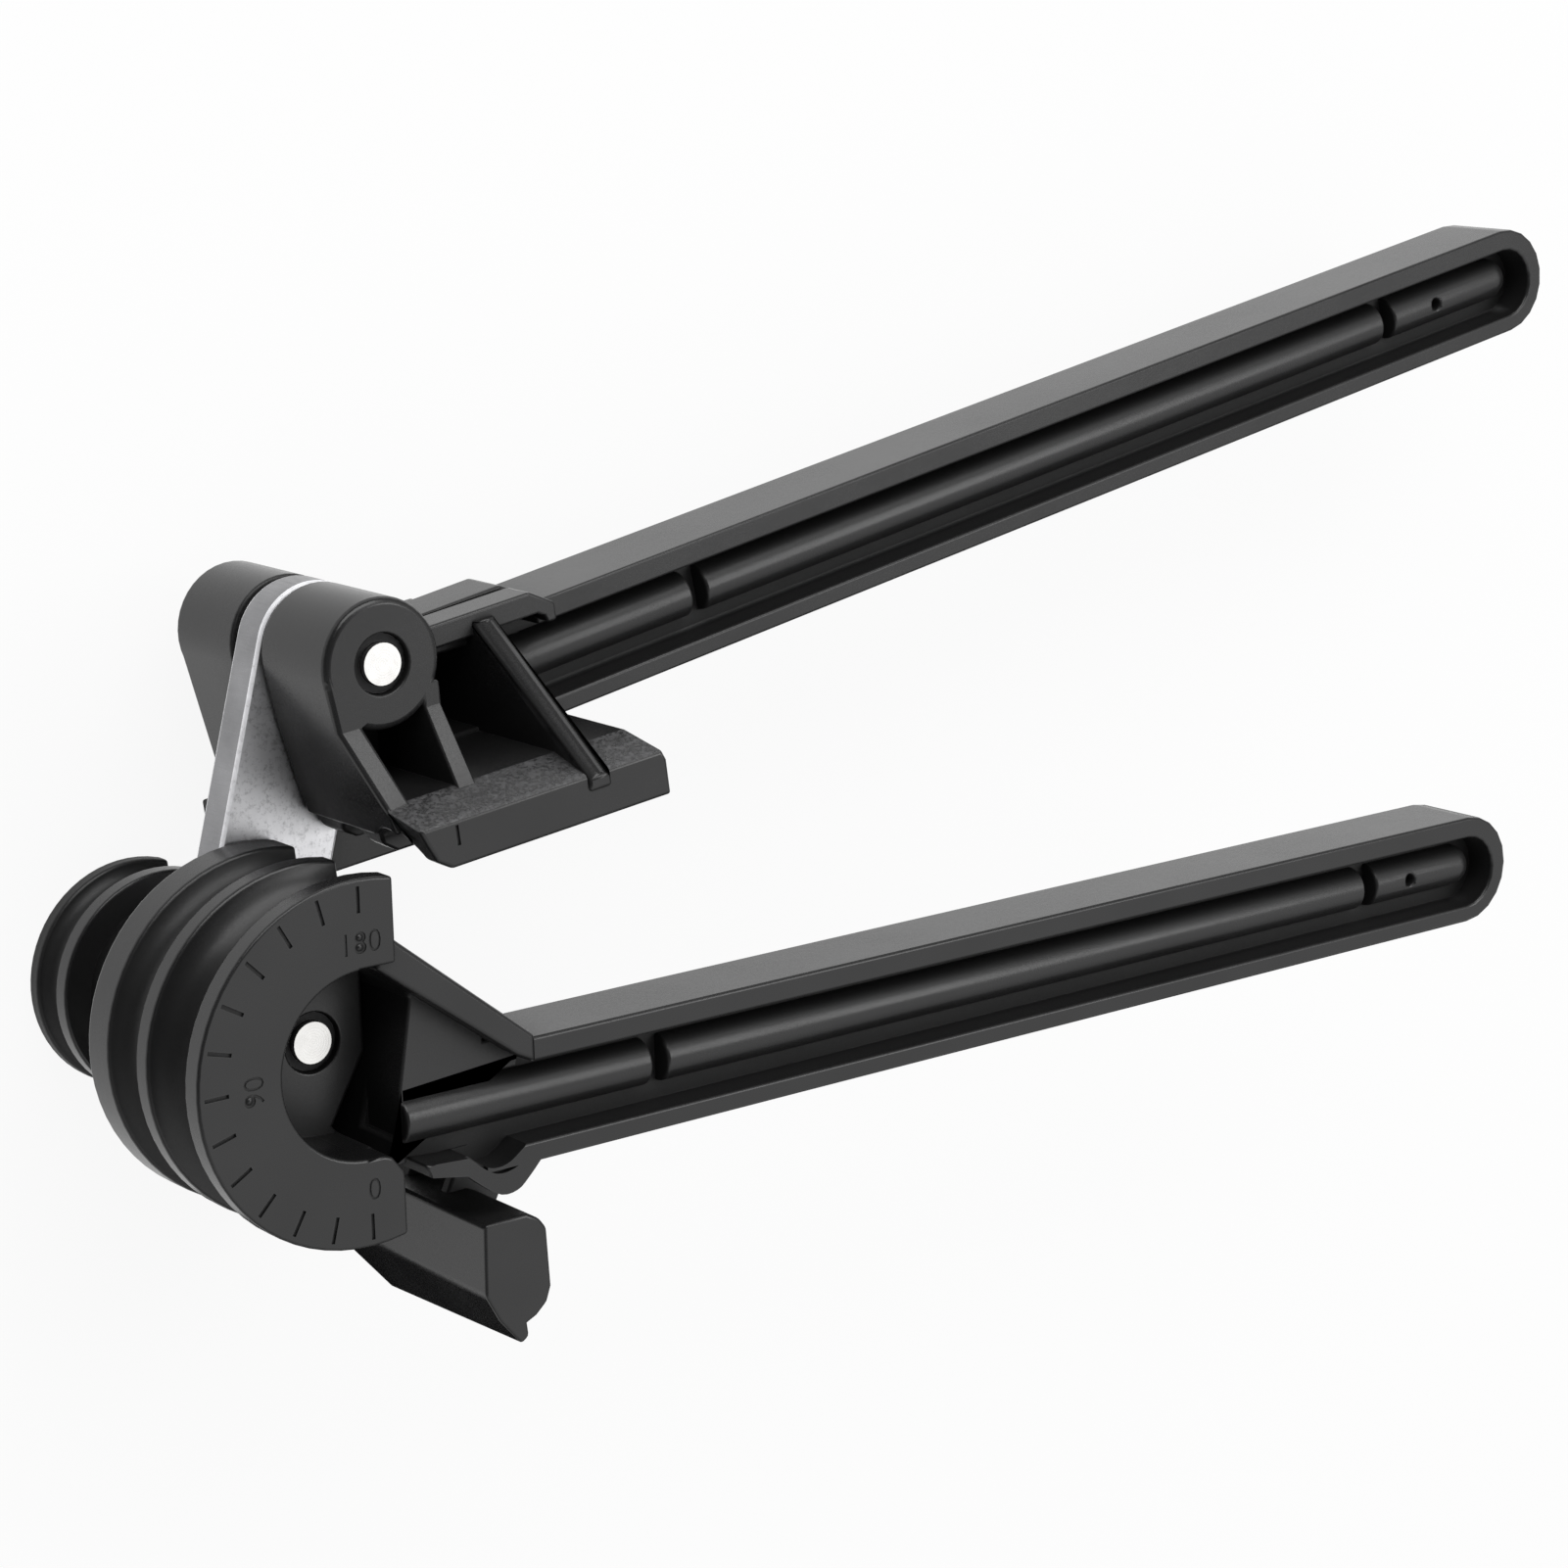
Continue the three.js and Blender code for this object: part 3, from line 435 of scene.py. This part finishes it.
def cast(name, node, materials, body, own_frame, round_of, cutter=None, is_pitted=None):
    """Coated casting in place of its CAD node, with rounded edges, engraved marks and pitted faces."""
    bm = bare_casting(node, own_frame)
    weigh_edges(bm, own_frame, round_of)
    shade_by_angle(bm)
    if is_pitted:
        back = own_frame.inverted()
        for face in bm.faces:
            middle, facing = back @ face.calc_center_median(), back.to_3x3() @ face.normal
            face.material_index = int(is_pitted(middle / MM, facing))
    piece = new_piece(name, bm, materials, body, node)
    round_edges(piece)
    if cutter:
        engrave(piece, cutter)
    even_faces(piece)


BOSS_RADIUS = 9
FLOOR_FACING, FLOOR_RISE = 0.8, 0.1
FLOOR_LOW, FLOOR_HIGH = -18.5, -15.5


def boss_face(middle, facing):
    """The pivot boss, in the dial's window."""
    at_boss = abs(DIAL_TOP / MM - middle.z - BORED_DEPTH) < 2 * NEAR
    return facing.z > FACES_UP and middle.xy.length < BOSS_RADIUS and middle.x > 0 and at_boss


def shoe_floor(middle, facing):
    """The sloping floor between the ribs and the shoe's lip."""
    return facing.y > FLOOR_FACING and facing.z > FLOOR_RISE and FLOOR_LOW < middle.y < FLOOR_HIGH


# Engraved marks, in mm.
TICK_WIDTH = 0.5
TICK_INNER = 18.99
TICK_OUTER = 22.33
TICK_STEP = math.radians(15)
TICKS = 13
MARK_SINK = 0.3
DIGIT_SINK = 0.16
DIGIT_HEIGHT = 2.8
DIGIT_THINNING = -0.005
DIGIT_STEPS = 3
SAME_MARK_SPOT = 0.0005
NUMBERS = (("180", (0.4, 15.3), 0), ("0", (0.5, -15.9), 0), ("90", (-15.6, -0.2), QUARTER))
SHOE_TICK_PLACE, SHOE_TICK_LENGTH, SHOE_LIP_DEPTH = (-0.1, -20), 2.6, 0.4


def engrave(piece, cutter):
    """Sinks the cutter's shapes into the piece, whose rounded edges are settled first."""
    mesh = bpy.data.meshes.new("marks")
    cutter.to_mesh(mesh)
    cutter.free()
    marks = bpy.data.objects.new("marks", mesh)
    bpy.context.scene.collection.objects.link(marks)
    sink = piece.modifiers.new("sink", "BOOLEAN")
    sink.object = marks
    sink.operation = "DIFFERENCE"
    sink.solver = "EXACT"
    bpy.context.view_layer.update()
    settled = piece.evaluated_get(bpy.context.evaluated_depsgraph_get())
    blank, piece.data = piece.data, bpy.data.meshes.new_from_object(settled)
    piece.modifiers.clear()
    bpy.data.objects.remove(marks)
    bpy.data.meshes.remove(mesh)
    bpy.data.meshes.remove(blank)


def add_tick(bm, own_frame, centre, angle, length, depth):
    """Upright blade for one tick mark, standing through a face at the given depth."""
    place = Matrix.Translation((centre[0] * MM, centre[1] * MM, DIAL_TOP - depth * MM))
    blade = Matrix.Diagonal((TICK_WIDTH * MM, length * MM, 2 * MARK_SINK * MM, 1))
    bmesh.ops.create_cube(bm, size=1, matrix=own_frame @ place @ Matrix.Rotation(angle, 4, "Z") @ blade)


def add_number(bm, word, centre, angle):
    """Digits of one dial number, standing through the dial's face."""
    curve = bpy.data.curves.new("digits", "FONT")
    curve.body = word
    curve.extrude = 0.5
    curve.offset = DIGIT_THINNING
    curve.resolution_u = DIGIT_STEPS
    holder = bpy.data.objects.new("digits", curve)
    bpy.context.scene.collection.objects.link(holder)
    bpy.context.view_layer.update()
    mesh = bpy.data.meshes.new_from_object(holder.evaluated_get(bpy.context.evaluated_depsgraph_get()))
    bpy.data.objects.remove(holder)
    bpy.data.curves.remove(curve)
    xs = [vert.co.x for vert in mesh.vertices]
    ys = [vert.co.y for vert in mesh.vertices]
    size = DIGIT_HEIGHT * MM / (max(ys) - min(ys))
    to_middle = Matrix.Translation((-(max(xs) + min(xs)) / 2, -(max(ys) + min(ys)) / 2, 0))
    scale = Matrix.Diagonal((size, size, 2 * DIGIT_SINK * MM, 1))
    place = Matrix.Translation((centre[0] * MM, centre[1] * MM, DIAL_TOP))
    mesh.transform(place @ Matrix.Rotation(angle, 4, "Z") @ scale @ to_middle)
    bm.from_mesh(mesh)
    bpy.data.meshes.remove(mesh)


def dial_marks():
    """Ticks from 0 round to 180, and the three numbers."""
    bm = bmesh.new()
    middle = (TICK_INNER + TICK_OUTER) / 2
    for step in range(TICKS):
        angle = -QUARTER - TICK_STEP * step
        centre = (middle * math.cos(angle), middle * math.sin(angle))
        add_tick(bm, WHEEL_FRAME, centre, angle - QUARTER, TICK_OUTER - TICK_INNER, 0)
    for word, centre, angle in NUMBERS:
        add_number(bm, word, centre, angle)
    bmesh.ops.remove_doubles(bm, verts=bm.verts, dist=SAME_MARK_SPOT * MM)
    bmesh.ops.recalc_face_normals(bm, faces=bm.faces)
    return bm


def shoe_mark():
    """Single tick on the shoe's lip that is read against the dial."""
    bm = bmesh.new()
    add_tick(bm, SHOE_FRAME, SHOE_TICK_PLACE, 0, SHOE_TICK_LENGTH, SHOE_LIP_DEPTH)
    return bm


# Link, in mm.
LINK_HALF_WIDTH = 8.35
LINK_HALF_LENGTH = 23.8
LINK_BORE = 2.88
LINK_TOP_DEPTH = 27.9
LINK_BACK_DEPTH = 33.4
LINK_ROUND = 0.45
LINK_STEPS = 64
LEAST_WIDTH = 0.001
FLAT_SIDE, ROUND_SIDE, EDGE = 0, 1, 2


def make_link(materials):
    """Flat link with two round ends, each spun round its hole and squared off to the middle."""
    half_width, half_length = LINK_HALF_WIDTH * MM, LINK_HALF_LENGTH * MM
    top, bottom = DIAL_TOP - LINK_TOP_DEPTH * MM, DIAL_TOP - LINK_BACK_DEPTH * MM
    foot = Vector((0, -half_length, top))
    bm = bmesh.new()
    ends = [bm.verts.new(foot - Vector((0, radius, 0))) for radius in (LINK_BORE * MM, half_width)]
    bmesh.ops.spin(bm, geom=[*ends, bm.edges.new(ends)], cent=foot, axis=(0, 0, 1),
                   angle=2 * math.pi, steps=LINK_STEPS, use_merge=True)
    rim = [vert for vert in bm.verts
           if vert.co.y > foot.y + ON_PLANE * MM and (vert.co - foot).length > half_width / 2]
    for vert in rim:
        away = vert.co - foot
        vert.co = foot + away * min(half_width / max(abs(away.x), LEAST_WIDTH * MM), half_length / away.y)
    for side in (-1, 1):
        corner = Vector((side * half_width, 0, top))
        min(rim, key=lambda vert: (vert.co - corner).length).co = corner
    bmesh.ops.mirror(bm, geom=[*bm.verts, *bm.edges, *bm.faces], axis="Y", merge_dist=ON_PLANE * MM)
    bmesh.ops.remove_doubles(bm, verts=bm.verts, dist=SAME_SPOT * MM)
    bmesh.ops.recalc_face_normals(bm, faces=bm.faces)
    bmesh.ops.solidify(bm, geom=bm.faces[:], thickness=top - bottom)
    highest = max(vert.co.z for vert in bm.verts)
    bmesh.ops.translate(bm, verts=bm.verts, vec=(0, 0, top - highest))
    bmesh.ops.recalc_face_normals(bm, faces=bm.faces)
    bmesh.ops.transform(bm, matrix=LINK_FRAME @ Matrix.Translation((0, half_length, 0)), verts=bm.verts)
    bm.normal_update()
    for face in bm.faces:
        face.material_index = FLAT_SIDE if abs(face.normal.z) > FACES_UP else ROUND_SIDE
    weigh_edges(bm, LINK_FRAME, lambda a, b: LINK_ROUND)
    shade_by_angle(bm)
    piece = new_piece("link_plated", bm, materials, "link", "link_plate")
    round_edges(piece, EDGE)
    even_faces(piece)


# Studio. Places and sizes are in metres, and powers in watts.
DARK_SIDE = (-0.594, 0.228, 0.772)
HEIGHTS, HEIGHT_LIGHTS = (0.1, 0.75), (0.16, 1.07)
DARK_SIDE_EDGES, DARK_SIDE_LIGHTS = (0.55, 0.88), (1, 0.12)
AMBIENT = (0.6, 0.6, 0.6, 1)
WHITE = (1, 1, 1, 1)
FLOOR_WHITE = (0.92, 0.92, 0.92, 1)
# Greys of the sheet that paints dark reflections below the tool.
PAINTED_REFLECTION_DARK, PAINTED_REFLECTION_LIGHT = 0.008, 0.014
FLOOR_DROP = 0.0002
FLOOR_HALF = 2
FLOOR_GLOW = {"Is Camera Ray": 0.9, "Is Glossy Ray": 0.76}
CARD_MIDDLE = (0.19, -0.206, 0.0001)
CARD_HALF = (0.19, 0.2)
SOFTBOXES = (
    ("top_softbox", (0.05, 0.75, 0.55), (0.06, 0, 0.03), (0.9, 0.5), 4),
    ("right_softbox", (0.66, 0.22, 0.85), (0.08, 0, 0), (0.5, 0.35), 1.6),
)


def add_softbox(name, place, target, size, power):
    data = bpy.data.lights.new(name, "AREA")
    data.shape = "RECTANGLE"
    data.size, data.size_y = size
    data.energy = power
    light = bpy.data.objects.new(name, data)
    aim = Vector(target) - Vector(place)
    light.matrix_world = Matrix.Translation(place) @ aim.to_track_quat("-Z", "Y").to_matrix().to_4x4()
    bpy.context.scene.collection.objects.link(light)


def add_plane(name, middle, half_sizes, material):
    """Flat piece of the studio, lying level."""
    bm = bmesh.new()
    place = Matrix.Translation(middle) @ Matrix.Diagonal((*half_sizes, 1, 1))
    bmesh.ops.create_grid(bm, x_segments=1, y_segments=1, size=1, matrix=place)
    mesh = bpy.data.meshes.new(name)
    bm.to_mesh(mesh)
    bm.free()
    mesh.materials.append(material)
    plane = bpy.data.objects.new(name, mesh)
    bpy.context.scene.collection.objects.link(plane)
    return plane


def make_floor():
    """Pale floor that takes the shadow, and looks as white as the walls."""
    n = material_nodes("pale_floor")
    diffuse = n.add("ShaderNodeBsdfDiffuse", {"Color": FLOOR_WHITE}).outputs[0]
    glow = n.add("ShaderNodeEmission", {"Color": WHITE, "Strength": 1}).outputs[0]
    rays = n.add("ShaderNodeLightPath").outputs
    share = n.maths("MAXIMUM", *[n.maths("MULTIPLY", rays[ray], part) for ray, part in FLOOR_GLOW.items()])
    material = n.show(n.mix(share, diffuse, glow))
    floor = add_plane("floor", (0, 0, -FLOOR_DROP), (FLOOR_HALF, FLOOR_HALF), material)


def make_painted_reflection_card():
    """Matt black sheet on the floor below the tool, seen only in reflections: a painted dark reflection
    that stands for shade there.
    """
    n = material_nodes("painted_reflection_card")
    shade = n.blend(n.noise(scale=400, detail=3.0), grey(PAINTED_REFLECTION_DARK), grey(PAINTED_REFLECTION_LIGHT))
    material = n.show(n.add("ShaderNodeBsdfDiffuse", {"Color": shade}).outputs[0])
    card = add_plane("painted_reflection_card", CARD_MIDDLE, CARD_HALF, material)
    for ray in ("camera", "diffuse", "transmission", "shadow"):
        setattr(card, "visible_" + ray, False)


def make_walls():
    """White to the camera; in reflections darker near the floor and on the photograph's own side."""
    world = bpy.data.worlds.new("studio")
    bpy.context.scene.world = world
    n = Nodes(world, "ShaderNodeOutputWorld")
    way = n.place["Generated"]
    height = n.add("ShaderNodeSeparateXYZ", {0: way}).outputs["Z"]
    upper = n.span(height, *HEIGHTS, *HEIGHT_LIGHTS)
    side = n.span(n.dot(way, DARK_SIDE), *DARK_SIDE_EDGES, *DARK_SIDE_LIGHTS)
    white = n.add("ShaderNodeBackground", {"Color": WHITE}).outputs[0]
    soft = n.add("ShaderNodeBackground", {"Color": AMBIENT}).outputs[0]
    strength = n.maths("MULTIPLY", upper, side)
    mirrored = n.add("ShaderNodeBackground", {"Color": WHITE, "Strength": strength}).outputs[0]
    rays = n.add("ShaderNodeLightPath").outputs
    gloss = n.mix(rays["Is Glossy Ray"], soft, mirrored)
    n.show(n.mix(rays["Is Camera Ray"], gloss, white))


def dress():
    coat = powder_coat("black_coat", darkest=0.010, lightest=0.014, pits=0)
    rough_coat = powder_coat("black_coat_pitted", darkest=0.022, lightest=0.040, pits=0.6)
    latch_coat = powder_coat("black_latch", darkest=0.010, lightest=0.015, pits=0)
    coats = (coat, rough_coat)
    cast("lower_casting_coated", "lower_casting", coats, "wheel_handle", WHEEL_FRAME,
         lower_rounds, dial_marks(), boss_face)
    cast("upper_casting_coated", "upper_casting", coats, "shoe_handle", SHOE_FRAME,
         upper_rounds, shoe_mark(), shoe_floor)
    cast("tube_latch_coated", "tube_latch", (latch_coat,), "latch", WHEEL_FRAME, latch_rounds)
    make_link((link_chrome(), link_sides(), link_edge_highlight()))
    steels = {pin: turned_steel("turned_steel_" + pin, axis) for pin, axis in PIN_AXES.items()}
    ring_steel = black_steel()
    for name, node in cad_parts.items():
        if node.hide_render:
            continue
        steel = ring_steel if "ring" in name or "clip" in name else steels[name.split("_")[0]]
        for slot in node.material_slots:
            slot.material = steel


bpy.context.scene.view_settings.view_transform = "Standard"
make_camera()
make_walls()
make_floor()
make_painted_reflection_card()
for softbox in SOFTBOXES:
    add_softbox(*softbox)
dress()
